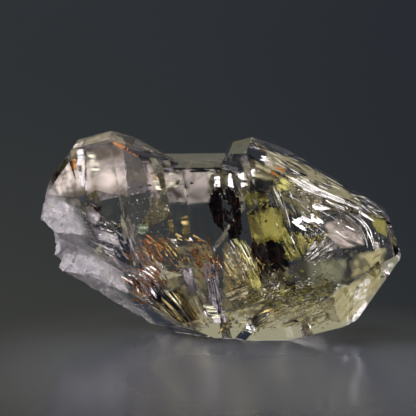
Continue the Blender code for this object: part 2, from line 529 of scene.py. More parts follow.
def add_sheet(bm, outline, depth, shine, seed, grain=0.0, ripple=0.02, ribs=3.0, gaps=0.0,
              ragged=0.08, soft=0.0, patchy=0.0):
    """Adds a sheet through an outline in the photo. Its ribs run along its grain: so many per
    millimetre, and as high as the ripple. Gaps is the share that is missing between ribs, ragged
    how far its edge strays, soft the width over which the edge fades, and patchy how thin its
    cloudy patches are."""
    thinned = bm.verts.layers.float["thinned"]
    middle = middle_of(outline)
    window = window_at(*middle)
    start, sight_line = sight(*middle, window)
    centre = start + sight_line * depth * MM
    normal = mirroring(sight_line, *shine)
    across = (lens_right - normal * normal.dot(lens_right)).normalized()
    rise = normal.cross(across)

    def laid(u, v):
        """Where a place in the photo falls on the sheet, in millimetres across and up."""
        start, direction = sight(u, v, window)
        place = start + direction * ((centre - start).dot(normal) / direction.dot(normal))
        return (place - centre).dot(across) / MM, (place - centre).dot(rise) / MM

    flat = [laid(u, v) for u, v in outline]
    angle = math.radians(grain)
    long_way = Vector(laid(
        middle[0] + GRAIN_REACH * math.cos(angle), middle[1] - GRAIN_REACH * math.sin(angle)
    )).normalized()
    side_way = Vector((-long_way.y, long_way.x))
    low = (min(a for a, _ in flat) - ragged, min(b for _, b in flat) - ragged)
    high = (max(a for a, _ in flat) + ragged, max(b for _, b in flat) + ragged)
    columns = int((high[0] - low[0]) / SHEET_CELL) + 2
    rows = int((high[1] - low[1]) / SHEET_CELL) + 2

    def along_grain(a, b):
        return a * long_way.x + b * long_way.y, a * side_way.x + b * side_way.y

    def strayed(a, b, layer):
        """How far the edge strays: broad bites and small nicks."""
        bites = 2 * wave(a * 2, b * 2, layer, seed)
        nicks = wave(a * 8, b * 8, layer + 1, seed)
        return ragged * (bites + nicks)

    def kept(a, b):
        if not in_outline(a + strayed(a, b, 0), b + strayed(a, b, 5), flat):
            return False
        if gaps:
            t, s = along_grain(a, b)
            worn = wave(s * ribs, t * 0.5, 2, seed + 7) + 0.6 * wave(s * ribs * 3, t * 1.6, 3, seed)
            if worn + 0.5 < gaps:
                return False
        return buried(centre + (across * a + rise * b) * MM, SHEET_SKIN)

    def full_at(a, b):
        full = 1.0
        if soft:
            reach = edge_distance(a, b, flat) + 0.5 * soft * wave(a * 1.5, b * 1.5, 8, seed)
            full = smoothstep(0, soft, reach)
        if patchy:
            cloud = wave(a * 0.9, b * 0.9, 4, seed) + 0.5 * wave(a * 2.6, b * 2.6, 4, seed)
            full *= 1 - patchy * smoothstep(-0.1, 0.5, cloud)
        return full

    corners = {}

    def corner(i, j, lower):
        key = (i, j, lower)
        if key not in corners:
            a, b = low[0] + i * SHEET_CELL, low[1] + j * SHEET_CELL
            t, s = along_grain(a, b)
            lift = ripple * wave(s * ribs, t * 0.4, 1, seed) + 0.3 * ripple * wave(a, b, 3, seed)
            if lower:
                lift -= SHEET_THICK
            vertex = bm.verts.new(centre + (across * a + rise * b + normal * lift) * MM)
            vertex[thinned] = 1 - full_at(a, b)
            corners[key] = vertex
        return corners[key]

    cells = {
        (i, j)
        for i in range(columns)
        for j in range(rows)
        if kept(low[0] + (i + 0.5) * SHEET_CELL, low[1] + (j + 0.5) * SHEET_CELL)
    }
    for i, j in cells:
        bm.faces.new([corner(i, j, False), corner(i + 1, j, False), corner(i + 1, j + 1, False),
                      corner(i, j + 1, False)])
        bm.faces.new([corner(i, j, True), corner(i, j + 1, True), corner(i + 1, j + 1, True),
                      corner(i + 1, j, True)])
        for (di, dj), (pi, pj), (qi, qj) in CELL_SIDES:
            if (i + di, j + dj) not in cells:
                p, q = (i + pi, j + pj), (i + qi, j + qj)
                bm.faces.new([corner(*q, False), corner(*p, False), corner(*p, True),
                              corner(*q, True)])


def add_slab(bm, corners, normal, thick):
    """Adds one thin closed plate."""
    lift = normal * thick * 0.5 * MM
    top = [bm.verts.new(corner + lift) for corner in corners]
    low = [bm.verts.new(corner - lift) for corner in corners]
    bm.faces.new(top)
    bm.faces.new(low[::-1])
    count = len(corners)
    for k in range(count):
        bm.faces.new([top[k], low[k], low[(k + 1) % count], top[(k + 1) % count]])


def add_ribbon(bm, path, width, depth, shine, seed, jitter=1.5, steps=RIBBON_STEPS):
    """Adds one long thin fold of a crack: small steps along a curve through three places in the
    photo, each of them flat and mirroring the light. Jitter is how unevenly they face."""
    rng = random.Random(seed)
    (u1, v1), (u2, v2), (u3, v3) = path
    window = window_at(u2, v2)
    if window[0] is None:
        return
    cu, cv = 2 * u2 - (u1 + u3) / 2, 2 * v2 - (v1 + v3) / 2
    line = []
    for k in range(steps + 1):
        t = k / steps
        one, two, three = (1 - t) ** 2, 2 * t * (1 - t), t * t
        place = Vector((
            one * u1 + two * cu + three * u3 + RIBBON_WANDER * wave(t * 5, seed, 0, seed),
            one * v1 + two * cv + three * v3 + RIBBON_WANDER * wave(t * 5, seed, 7, seed),
        ))
        begins = smoothstep(0, RIBBON_TAPER, t + RIBBON_TIP)
        ends = smoothstep(1, 1 - RIBBON_TAPER, t - RIBBON_TIP)
        half = width * 0.5 * max(LEAST_TAPER, begins * ends)
        line.append((place, half * (0.8 + 0.5 * wave(t * 8, seed, 3, seed))))
    for (one, half_one), (two, half_two) in zip(line, line[1:]):
        turned = shaken(shine, jitter, rng)
        start, direction = sight(*((one + two) / 2), window)
        centre = start + direction * depth * MM
        if not buried(centre, SHEET_SKIN):
            continue
        normal = mirroring(direction, *turned)
        side = Vector((one.y - two.y, two.x - one.x)).normalized()
        corners = []
        for place in (one + side * half_one, two + side * half_two, two - side * half_two,
                      one - side * half_one):
            start, direction = sight(*place, window)
            reach = (centre - start).dot(normal) / direction.dot(normal)
            corners.append(start + direction * reach)
        add_slab(bm, corners, normal, RIBBON_THICK)


def along(line, share):
    (u1, v1), (u2, v2) = line
    return u1 + (u2 - u1) * share, v1 + (v2 - v1) * share


def add_bundle(bm, starts, ends, count, bow, width, depth, shine, seed, spread=6.0, uneven=0.25,
               jitter=1.5):
    """Adds a fan of bowed ribbons between two lines in the photo. Spread is how unevenly they
    face, and uneven how far they stop short of the lines."""
    rng = random.Random(seed)

    def strayed(line, share):
        u, v = along(line, share)
        return u + rng.gauss(0, BUNDLE_STRAY), v + rng.gauss(0, BUNDLE_STRAY)

    for k in range(count):
        share = (k + rng.uniform(-0.4, 0.4)) / max(1, count - 1)
        line = (strayed(starts, share), strayed(ends, share))
        (u1, v1), (u2, v2) = line
        first = rng.uniform(0, uneven)
        last = 1 - rng.uniform(0, uneven)
        away = Vector((v2 - v1, -(u2 - u1))).normalized() * bow
        middle = ((u1 + u2) / 2 + away.x, (v1 + v2) / 2 + away.y)
        turned = shaken(shine, spread, rng)
        add_ribbon(bm, (along(line, first), middle, along(line, last)),
                   width * rng.uniform(0.4, 1.5), depth + rng.gauss(0, BUNDLE_DEPTH_STRAY),
                   turned, seed * 31 + k, jitter)


def add_hairs(bm, outline, count, length, width, depth, shine, grain, seed, sway=8.0, spread=7.0):
    """Adds short ribbons that are strewn over an outline in the photo and run the same way.
    Sway is how far they turn from the grain, and spread how unevenly they face."""
    rng = random.Random(seed)
    made = 0
    while made < count:
        u, v = near_outline(rng, outline)
        if not in_outline(u, v, outline):
            continue
        made += 1
        angle = math.radians(grain + rng.gauss(0, sway))
        half = rng.uniform(*length) / 2
        du, dv = half * math.cos(angle), -half * math.sin(angle)
        # One draw is passed over: without it, every later hair would lie elsewhere.
        rng.random()
        turned = shaken(shine, spread, rng)
        add_ribbon(bm, ((u - du, v - dv), (u, v), (u + du, v + dv)),
                   width * rng.uniform(0.4, 1.6), rng.uniform(*depth), turned, seed * 37 + made,
                   steps=HAIR_STEPS)


def add_flakes(bm, outline, count, size, depth, shine, seed, spread=12.0, long=1.0, grain=0.0):
    """Adds a cloud of tiny plates. Long is how much they are stretched along the grain."""
    rng = random.Random(seed)
    sway = 12 if long > 1.5 else 90
    made = tries = 0
    while made < count and tries < count * MOST_TRIES:
        tries += 1
        u, v = near_outline(rng, outline)
        if not in_outline(u, v, outline):
            continue
        if 1.6 * wave(u * 0.11, v * 0.11, 0, seed) + 0.1 < rng.uniform(-0.5, 0.6):
            continue
        window = window_at(u, v)
        if window[0] is None:
            continue
        spot = within(u, v, rng.uniform(*depth), window)
        if not buried(spot, FLAKE_SKIN):
            continue
        made += 1
        normal = mirroring(sight(u, v, window)[1], *shaken(shine, spread, rng))
        angle = math.radians(grain + rng.gauss(0, sway))
        lay = lens_right * math.cos(angle) + lens_up * math.sin(angle)
        lay = (lay - normal * normal.dot(lay)).normalized()
        side = normal.cross(lay)
        radius = size * rng.uniform(0.35, 0.8) ** 2 * FLAKE_GAIN * MM
        stretch = long * rng.uniform(1.0, 2.2)
        turn = rng.uniform(0, FLAKE_TURN)
        corners = []
        for k in range(FLAKE_SIDES):
            a = turn + 2 * math.pi * k / FLAKE_SIDES
            reach = radius * rng.uniform(0.35, 1.15)
            corners.append(spot + (lay * math.cos(a) * stretch + side * math.sin(a)) * reach)
        add_slab(bm, corners, normal, FLAKE_THICK)


def crack_finish(name, colour, roughness, cover):
    """The shine of a gap in the quartz. It covers least where it is met head-on and most where
    it is grazed, and thins out with the mesh's own thinned value."""
    material, tree, shader = new_finish(name)
    gap = new_node(tree, "ShaderNodeFresnel", {"IOR": 1 / QUARTZ_REFRACTION})["Fac"]
    covers = new_node(tree, "ShaderNodeMapRange", {
        "From Max": FULL_SHINE_AT, "To Min": cover[0], "To Max": cover[1], "Value": gap,
    })["Result"]
    thinned = new_node(tree, "ShaderNodeAttribute", {}, attribute_name="thinned")["Fac"]
    full = new_node(tree, "ShaderNodeMath", {0: 1.0, 1: thinned}, operation="SUBTRACT")["Value"]
    share = new_node(tree, "ShaderNodeMath", {0: covers, 1: full}, operation="MULTIPLY")["Value"]
    fill(tree, shader, {
        "Base Color": (*colour, 1), "Metallic": 1.0, "Roughness": roughness, "Alpha": share,
    })
    return material


def crack_group(name, finish, sheets=(), bundles=(), ribbons=(), hairs=(), flakes=()):
    """Makes one piece of all the cracks of one finish."""
    bm = bmesh.new()
    bm.verts.layers.float.new("thinned")
    for add, cracks in ((add_sheet, sheets), (add_bundle, bundles), (add_ribbon, ribbons),
                        (add_hairs, hairs), (add_flakes, flakes)):
        for crack in cracks:
            add(bm, **crack)
    mesh = bpy.data.meshes.new(name)
    bmesh.ops.recalc_face_normals(bm, faces=bm.faces)
    bm.to_mesh(mesh)
    bm.free()
    new_piece(name, mesh, finish, CRACK_CREASE)


SILVER = (0.95, 0.94, 0.96)
SILVER_SHEETS = (
    dict(outline=[(297, 181), (304, 179), (322, 190), (314, 192), (303, 190)], depth=0.8,
         shine=UP_LEFT, grain=-30, ribs=5, gaps=0.15, seed=31),
    dict(outline=[(306, 191), (322, 190), (345, 200), (343, 206), (322, 200)], depth=0.8,
         shine=UP_LEFT, grain=-25, ribs=5, gaps=0.15, seed=35),
    dict(outline=[(345, 201), (360, 207), (359, 211), (346, 206)], depth=0.8, shine=UP_LEFT,
         grain=-25, ribs=4, gaps=0.2, seed=36),
    dict(outline=[(292, 221), (300, 217), (306, 230), (302, 229)], depth=1.0, shine=UP_LEFT,
         grain=-50, ribs=4, seed=32),
    dict(outline=[(303, 217), (312, 214), (325, 222), (322, 226), (311, 222)], depth=1.0,
         shine=UP_LEFT, grain=-35, ripple=0.025, ribs=4, gaps=0.12, seed=33),
    dict(outline=[(312, 205), (319, 203), (331, 209), (316, 210)], depth=1.0, shine=UP_LEFT,
         grain=-20, ribs=4, seed=34),
    dict(outline=[(171, 239), (178, 239), (180, 243), (173, 243)], depth=2.0, shine=UP,
         ragged=0.03, seed=37),
    dict(outline=[(183, 237), (190, 237), (193, 241), (186, 242)], depth=2.0, shine=UP,
         ragged=0.03, seed=38),
    dict(outline=[(214, 177), (220, 175), (222, 187), (215, 188)], depth=3.0, shine=UP, seed=39),
    dict(outline=[(224, 174), (231, 174), (234, 188), (226, 186)], depth=3.0, shine=UP, seed=40),
    dict(outline=[(237, 174), (249, 172), (251, 184), (243, 187), (238, 184)], depth=3.0, shine=UP,
         ripple=0.04, gaps=0.15, seed=41),
    dict(outline=[(142, 300), (146, 299), (147, 303), (144, 305), (141, 303)], depth=1.2, shine=UP,
         ragged=0.03, seed=42),
    dict(outline=[(310, 258), (318, 243), (328, 238), (338, 246), (330, 258), (320, 264)],
         depth=2.2, shine=(0, 92), grain=35, ripple=0.06, ribs=6, gaps=0.3, seed=43),
    dict(outline=[(75, 150), (84, 148), (85, 160), (77, 162)], depth=1.5, shine=UP, ripple=0.05,
         ragged=0.15, soft=0.25, patchy=0.6, seed=44),
    dict(outline=[(224, 318), (229, 317), (233, 328), (227, 331)], depth=1.0, shine=UP, seed=45),
)
SILVER_BUNDLES = (
    dict(starts=((119, 273), (150, 263)), ends=((145, 300), (172, 290)), count=11, bow=3,
         width=1.6, depth=0.8, shine=(0, 101), spread=1.5, jitter=0.8, seed=51),
    dict(starts=((340, 213), (360, 206)), ends=((366, 250), (383, 248)), count=8, bow=5, width=0.9,
         depth=1.2, shine=UP, seed=52),
    dict(starts=((270, 190), (280, 188)), ends=((284, 232), (292, 228)), count=5, bow=1, width=0.8,
         depth=1.4, shine=UP, seed=53),
    dict(starts=((228, 240), (240, 236)), ends=((248, 285), (262, 282)), count=9, bow=1, width=0.7,
         depth=1.6, shine=UP, seed=54),
)
SILVER_HAIRS = (
    dict(outline=[(280, 168), (300, 168), (372, 206), (384, 222), (350, 214), (300, 186)],
         count=56, length=(6, 26), width=0.8, depth=(0.5, 2.0), shine=UP, grain=-29, seed=55),
    dict(outline=[(296, 186), (345, 206), (382, 240), (360, 250), (320, 232), (294, 225)],
         count=34, length=(5, 20), width=0.8, depth=(0.8, 2.6), shine=UP, grain=-38, seed=56),
    dict(outline=[(62, 202), (100, 205), (122, 232), (120, 262), (90, 240)], count=50,
         length=(4, 16), width=0.8, depth=(0.8, 2.5), shine=UP, grain=-32, seed=57),
    dict(outline=[(165, 236), (222, 240), (246, 262), (250, 300), (200, 300), (165, 265)],
         count=46, length=(4, 14), width=0.7, depth=(0.8, 2.5), shine=UP, grain=-62, seed=58),
    dict(outline=[(255, 190), (292, 190), (300, 240), (290, 262)], count=12, length=(4, 14),
         width=0.7, depth=(1.0, 2.5), shine=UP, grain=-65, seed=59),
    dict(outline=[(262, 285), (322, 275), (325, 300), (300, 322), (250, 322)], count=50,
         length=(3, 9), width=0.9, depth=(0.8, 2.5), shine=LOW_BACK, grain=20, sway=40, seed=60),
)
SILVER_FLAKES = (
    dict(outline=[(270, 278), (322, 265), (330, 300), (300, 325), (262, 325)], count=320,
         size=0.08, depth=(1.0, 3.5), shine=LOW_BACK, seed=61),
    dict(outline=[(225, 250), (262, 262), (300, 290), (270, 325), (220, 320)], count=220,
         size=0.06, depth=(1.0, 3.5), shine=LOW_BACK, seed=62),
    dict(outline=[(200, 306), (300, 300), (330, 292), (332, 328), (215, 333)], count=220,
         size=0.06, depth=(0.3, 1.2), shine=FRONT_FOOT, spread=10, seed=66),
    dict(outline=[(125, 190), (165, 190), (168, 235), (128, 240)], count=50, size=0.035,
         depth=(1.5, 4.0), shine=(0, 92), spread=14, seed=63),
    dict(outline=[(60, 204), (84, 206), (122, 238), (118, 252), (80, 232)], count=110, size=0.05,
         depth=(1.0, 3.0), shine=(0, 92), spread=14, long=1.8, grain=-35, seed=64),
    dict(outline=[(295, 180), (380, 215), (380, 250), (300, 235)], count=240, size=0.06,
         depth=(1.0, 3.5), shine=(0, 97), seed=65),
)

silver_finish = crack_finish("silver_crack_finish", SILVER, roughness=0.06, cover=(0.15, 1.0))
crack_group(
    "silver_cracks", silver_finish, sheets=SILVER_SHEETS, bundles=SILVER_BUNDLES,
    hairs=SILVER_HAIRS, flakes=SILVER_FLAKES
)


# The lilac cracks
# Open cracks in the left half, gaps as thin as the silver ones. They lie where less light
# reaches them, and mirror it in a pale lilac grey.
LILAC = (0.72, 0.68, 0.74)
LILAC_SHEETS = (
    dict(outline=[(76, 161), (80, 158), (88, 190), (83, 192)], depth=1.6, shine=UP, grain=-78,
         seed=72),
    dict(outline=[(120, 262), (150, 262), (165, 285), (150, 300), (128, 290)], depth=1.4,
         shine=(0, 92), grain=-45, ripple=0.12, ribs=4, gaps=0.5, soft=0.3, patchy=0.6, seed=73),
    dict(outline=[(120, 215), (127, 214), (132, 240), (123, 246)], depth=1.6, shine=(0, 84),
         grain=-70, ripple=0.04, gaps=0.3, seed=74),
)

lilac_finish = crack_finish("lilac_crack_finish", LILAC, roughness=0.12, cover=(0.25, 0.95))
crack_group("lilac_cracks", lilac_finish, sheets=LILAC_SHEETS)


# The lilac veils
# Three narrow healed cracks that hang side by side low in the middle. They are layers of tiny
# bubbles in the quartz, too thin to mirror much, and show as dim lilac bands.
VEIL_LILAC = (0.33, 0.3, 0.34)
LILAC_VEIL_SHEETS = (
    dict(outline=[(203, 264), (210, 262), (222, 331), (214, 332)], depth=2.6, shine=(0, 105),
         grain=-79, ribs=5, ragged=0.04, soft=0.08, seed=75),
    dict(outline=[(211, 264), (216, 263), (228, 328), (223, 330)], depth=2.7, shine=(0, 105),
         grain=-78, ribs=5, ragged=0.04, soft=0.08, seed=76),
    dict(outline=[(181, 268), (192, 266), (198, 290), (190, 296)], depth=1.5, shine=(0, 101),
         grain=-74, ribs=4, ragged=0.06, soft=0.15, seed=77),
)

veil_finish = crack_finish("lilac_veil_finish", VEIL_LILAC, roughness=0.15, cover=(0.6, 0.95))
crack_group("lilac_veils", veil_finish, sheets=LILAC_VEIL_SHEETS)


# The blush veils
# Healed cracks behind the two clear panes of the middle crystal and under the left crystal's
# ridge. They are the same thin layers of bubbles, with a faint warm blush and soft edges.
BLUSH = (0.34, 0.3, 0.285)
BLUSH_SHEETS = (
    dict(outline=[(162, 172), (186, 169), (189, 205), (168, 206)], depth=2.8, shine=(0, 97),
         grain=-80, ripple=0.04, ribs=1.2, soft=0.6, patchy=1.0, seed=70),
    dict(outline=[(183, 168), (209, 169), (211, 204), (186, 206)], depth=2.6, shine=(0, 97),
         grain=-80, ripple=0.03, ribs=1.2, soft=0.4, patchy=0.45, seed=71),
    dict(outline=[(72, 146), (97, 132), (118, 132), (148, 150), (140, 153), (116, 139), (98, 139),
                  (78, 154)], depth=0.35, shine=(0, 97), grain=20, ripple=0.03, soft=0.15,
         patchy=0.5, seed=79),
)

blush_finish = crack_finish("blush_veil_finish", BLUSH, roughness=0.28, cover=(0.6, 0.95))
crack_group("blush_veils", blush_finish, sheets=BLUSH_SHEETS)


# The pale straw films
# Films of pale oil, drawn into flat cracks near the right end and the underside. The cracks
# face the front low down, so that they pass on its soft light.
STRAW = (0.72, 0.67, 0.46)
FRONT_RIGHT = (10, 32)
FRONT_END = (20, 11)
PALE_STRAW_SHEETS = (
    dict(outline=[(346, 250), (386, 246), (388, 264), (372, 272), (350, 282)], depth=1.2,
         shine=FRONT_RIGHT, grain=-50, ripple=0.03, ribs=2, ragged=0.2, soft=0.8, patchy=0.8,
         seed=95),
    dict(outline=[(322, 301), (350, 283), (384, 256), (380, 290), (352, 321), (334, 323)],
         depth=1.0, shine=FRONT_END, grain=50, ripple=0.015, ribs=2, soft=0.2, patchy=0.6, seed=99),
    dict(outline=[(224, 288), (262, 280), (300, 284), (296, 298), (256, 304), (226, 310)],
         depth=0.9, shine=LOW_BACK, grain=25, ripple=0.1, ribs=4, gaps=0.35, soft=0.25, patchy=0.6,
         seed=90),
    dict(outline=[(216, 318), (240, 312), (264, 308), (290, 302), (314, 300), (330, 300),
                  (330, 326), (300, 334), (270, 337), (236, 336)], depth=0.8, shine=FRONT_FOOT,
         grain=25, ripple=0.03, ribs=4, gaps=0.3, soft=0.1, patchy=0.6, seed=87),
)

straw_finish = crack_finish("pale_straw_film_finish", STRAW, roughness=0.22, cover=(0.6, 0.9))
crack_group("pale_straw_films", straw_finish, sheets=PALE_STRAW_SHEETS)


# The pink films
# Old cracks with a skin of pale pink clay or iron on their walls, mostly in the left crystal.
# They are patchy, where the skin has come off.
PINK = (0.8, 0.71, 0.66)
OVER_LEFT_END = (25, 127)
PINK_SHEETS = (
    dict(outline=[(86, 150), (112, 143), (125, 198), (96, 191), (85, 197)], depth=2.2,
         shine=(0, 88), grain=-78, ripple=0.05, ribs=1.2, soft=0.15, patchy=0.5, seed=81),
    dict(outline=[(322, 224), (345, 211), (364, 224), (366, 248), (340, 250), (328, 238)],
         depth=1.9, shine=(-20, 96), grain=-30, ripple=0.04, ribs=2, soft=0.5, patchy=0.4, seed=83),
    dict(outline=[(46, 192), (72, 158), (84, 195), (60, 205)], depth=1.0, shine=OVER_LEFT_END,
         grain=-70, ripple=0.04, ribs=2, soft=0.2, patchy=0.6, seed=84),
    dict(outline=[(139, 158), (150, 160), (163, 190), (160, 205), (150, 190)], depth=2.6,
         shine=(0, 84), grain=-70, ripple=0.03, soft=0.3, patchy=0.6, seed=85),
    dict(outline=[(302, 315), (312, 315), (312, 328), (302, 328)], depth=0.5, shine=LOW_BACK,
         ragged=0.05, soft=0.15, seed=82),
)

pink_finish = crack_finish("pink_film_finish", PINK, roughness=0.28, cover=(0.5, 0.85))
crack_group("pink_films", pink_finish, sheets=PINK_SHEETS)


# The pale yellow cracks
# Open cracks whose walls are wet with a trace of oil, so that they mirror in pale yellow. They
# run as short lines and plates along the top right edge and the underside.
PALE_YELLOW = (0.9, 0.9, 0.72)
PALE_SHEETS = (
    dict(outline=[(86, 152), (95, 151), (103, 172), (91, 175)], depth=1.2, shine=(0, 86),
         ripple=0.04, ragged=0.1, soft=0.35, patchy=0.6, seed=91),
    dict(outline=[(150, 173), (155, 171), (162, 190), (158, 193)], depth=2.4, shine=(0, 86),
         ragged=0.04, seed=92),
    dict(outline=[(202, 305), (214, 305), (218, 319), (212, 316)], depth=0.8, shine=(0, 104),
         ragged=0.04, seed=93),
    dict(outline=[(286, 179), (298, 177), (300, 182), (288, 184)], depth=2.0, shine=UP, seed=94),
)
PALE_BUNDLES = (
    dict(starts=((152, 296), (186, 285)), ends=((186, 331), (210, 333)), count=7, bow=1, width=0.9,
         depth=0.8, shine=(0, 91), spread=2, uneven=0.15, jitter=1.0, seed=89),
)
PALE_HAIRS = (
    dict(outline=[(262, 146), (300, 158), (352, 190), (376, 208), (350, 203), (300, 176),
                  (264, 158)], count=30, length=(6, 22), width=0.7, depth=(0.4, 1.4), shine=UP,
         grain=-30, sway=5, seed=168),
    dict(outline=[(205, 300), (300, 300), (330, 292), (332, 328), (215, 333)], count=60,
         length=(2, 7), width=0.8, depth=(0.3, 1.2), shine=FRONT_FOOT, grain=30, sway=40, spread=6,
         seed=96),
    dict(outline=[(345, 285), (388, 250), (386, 285), (352, 322)], count=12, length=(5, 16),
         width=0.9, depth=(0.4, 1.0), shine=FRONT_END, grain=60, spread=6, seed=97),
)
PALE_FLAKES = (
    dict(outline=[(255, 290), (330, 275), (335, 296), (280, 306), (245, 318)], count=160, size=0.1,
         depth=(0.4, 1.6), shine=LOW_BACK, spread=14, seed=98),
)

pale_finish = crack_finish(
    "pale_yellow_crack_finish", PALE_YELLOW, roughness=0.1, cover=(0.3, 1.0)
)
crack_group(
    "pale_cracks", pale_finish, sheets=PALE_SHEETS, bundles=PALE_BUNDLES, hairs=PALE_HAIRS,
    flakes=PALE_FLAKES
)


# The golden cracks
# Open cracks stained golden brown by the oil that went through them. They are flat bars below
# the middle panes, a fan of fine lines low on the left, and hairs and plates by the clots.
GOLD = (0.8, 0.62, 0.25)
GOLDEN_SHEETS = (
    dict(outline=[(168, 221), (173, 218), (175, 232), (170, 232)], depth=2.2, shine=(0, 80),
         seed=101),
    dict(outline=[(181, 218), (188, 214), (190, 235), (184, 237)], depth=2.2, shine=(0, 80),
         seed=102),
    dict(outline=[(160, 236), (182, 240), (186, 262), (168, 262)], depth=2.0, shine=(0, 90),
         grain=-50, ripple=0.07, ribs=5, gaps=0.5, seed=103),
)
GOLDEN_BUNDLES = (
    dict(starts=((148, 298), (186, 284)), ends=((188, 333), (214, 334)), count=12, bow=1.0,
         width=0.9, depth=0.9, shine=(0, 91), spread=2, uneven=0.12, jitter=1.0, seed=105),
)
GOLDEN_RIBBONS = (
    dict(path=((130, 299), (136, 300), (142, 301)), width=3.0, depth=1.2, shine=UP, seed=106),
    dict(path=((177, 289), (182, 294), (186, 301)), width=3.5, depth=1.0, shine=UP, seed=107),
    dict(path=((234, 319), (266, 311), (300, 302)), width=2.2, depth=0.35, shine=LOW_BACK,
         jitter=6, seed=99),
    dict(path=((218, 334), (226, 325), (232, 316)), width=2.4, depth=0.4, shine=LOW_BACK, seed=98),
)
GOLDEN_HAIRS = (
    dict(outline=[(140, 235), (200, 235), (215, 262), (190, 285), (150, 275)], count=70,
         length=(3, 10), width=0.9, depth=(0.8, 2.6), shine=(0, 90), grain=-45, sway=20, seed=110),
    dict(outline=[(225, 240), (262, 262), (262, 300), (228, 300)], count=60, length=(4, 16),
         width=0.8, depth=(0.8, 2.6), shine=(0, 88), grain=-62, seed=111),
)
GOLDEN_FLAKES = (
    dict(outline=[(225, 245), (260, 262), (262, 300), (228, 300)], count=200, size=0.09,
         depth=(1.0, 3.0), shine=(0, 88), seed=108),
    dict(outline=[(300, 205), (362, 250), (320, 290), (290, 270)], count=120, size=0.08,
         depth=(2.0, 4.0), shine=(0, 88), seed=109),
)

gold_finish = crack_finish("golden_crack_finish", GOLD, roughness=0.14, cover=(0.3, 1.0))
crack_group(
    "golden_cracks", gold_finish, sheets=GOLDEN_SHEETS, bundles=GOLDEN_BUNDLES,
    ribbons=GOLDEN_RIBBONS, hairs=GOLDEN_HAIRS, flakes=GOLDEN_FLAKES
)


# The sage film
# One broad film of thin oil in a crack beside the right clot. Quartz and oil together give it
# a dull grey green.
SAGE = (0.42, 0.44, 0.34)
SAGE_SHEETS = (
    dict(outline=[(296, 254), (322, 258), (349, 256), (346, 280), (320, 292), (300, 276)],
         depth=1.9, shine=FRONT_RIGHT, grain=-20, ribs=1.5, soft=0.6, patchy=0.6, seed=171),
)

sage_finish = crack_finish("sage_film_finish", SAGE, roughness=0.3, cover=(0.6, 0.9))
crack_group("sage_films", sage_finish, sheets=SAGE_SHEETS)


# The olive films
# Thicker films of oil in cracks round the clots and the right half, olive yellow, patchy where
# the oil has drawn back.
OLIVE = (0.47, 0.44, 0.155)
FRONT_MIDDLE = (-6, 30)
OLIVE_SHEETS = (
    dict(outline=[(258, 210), (272, 206), (284, 214), (288, 232), (280, 241), (262, 240),
                  (255, 228)], depth=1.8, shine=FRONT_MIDDLE, grain=-60, ripple=0.03, ribs=2,
         ragged=0.2, soft=0.7, patchy=0.6, seed=173),
    dict(outline=[(362, 204), (374, 207), (387, 221), (388, 238), (376, 232)], depth=1.0,
         shine=FRONT_RIGHT, grain=-50, ripple=0.01, soft=0.2, patchy=0.2, seed=144),
    dict(outline=[(228, 236), (246, 240), (262, 268), (262, 292), (250, 288), (240, 262)],
         depth=1.8, shine=(0, 99), grain=-60, ripple=0.08, gaps=0.3, soft=0.4, patchy=0.9,
         seed=145),
    dict(outline=[(246, 190), (258, 188), (262, 200), (250, 204)], depth=2.0, shine=(-8, 97),
         grain=-60, ripple=0.06, soft=0.3, patchy=0.6, seed=146),
    dict(outline=[(270, 176), (290, 178), (296, 190), (276, 192)], depth=1.0, shine=(-8, 97),
         grain=-30, ripple=0.06, soft=0.4, patchy=0.9, seed=147),
    dict(outline=[(278, 236), (300, 228), (316, 240), (302, 262), (284, 262)], depth=2.4,
         shine=(-8, 97), grain=-60, ripple=0.08, gaps=0.25, soft=0.5, patchy=0.9, seed=148),
    dict(outline=[(262, 294), (300, 282), (330, 276), (326, 288), (290, 300)], depth=1.4,
         shine=LOW_BACK, grain=20, ripple=0.08, ribs=4, gaps=0.3, soft=0.3, patchy=0.7, seed=149),
    dict(outline=[(46, 206), (53, 203), (54, 210), (49, 214)], depth=0.25, shine=OVER_LEFT_END,
         soft=0.12, seed=150),
)
OLIVE_FLAKES = (
    dict(outline=[(262, 262), (300, 268), (335, 275), (330, 292), (290, 304), (262, 300)],
         count=170, size=0.09, depth=(0.8, 2.5), shine=LOW_BACK, seed=160),
    dict(outline=[(250, 190), (292, 190), (300, 245), (290, 262), (250, 240)], count=60, size=0.08,
         depth=(1.6, 2.6), shine=UP_LEFT, seed=161),
    dict(outline=[(205, 300), (300, 298), (330, 292), (332, 328), (215, 333)], count=130,
         size=0.15, depth=(0.4, 1.4), shine=FRONT_FOOT, seed=162),
    dict(outline=[(330, 292), (345, 285), (384, 262), (380, 290), (350, 324), (332, 328)],
         count=14, size=0.22, depth=(0.6, 1.6), shine=FRONT_END, spread=10, seed=165),
)

olive_finish = crack_finish("olive_film_finish", OLIVE, roughness=0.22, cover=(0.5, 0.95))
crack_group("olive_films", olive_finish, sheets=OLIVE_SHEETS, flakes=OLIVE_FLAKES)


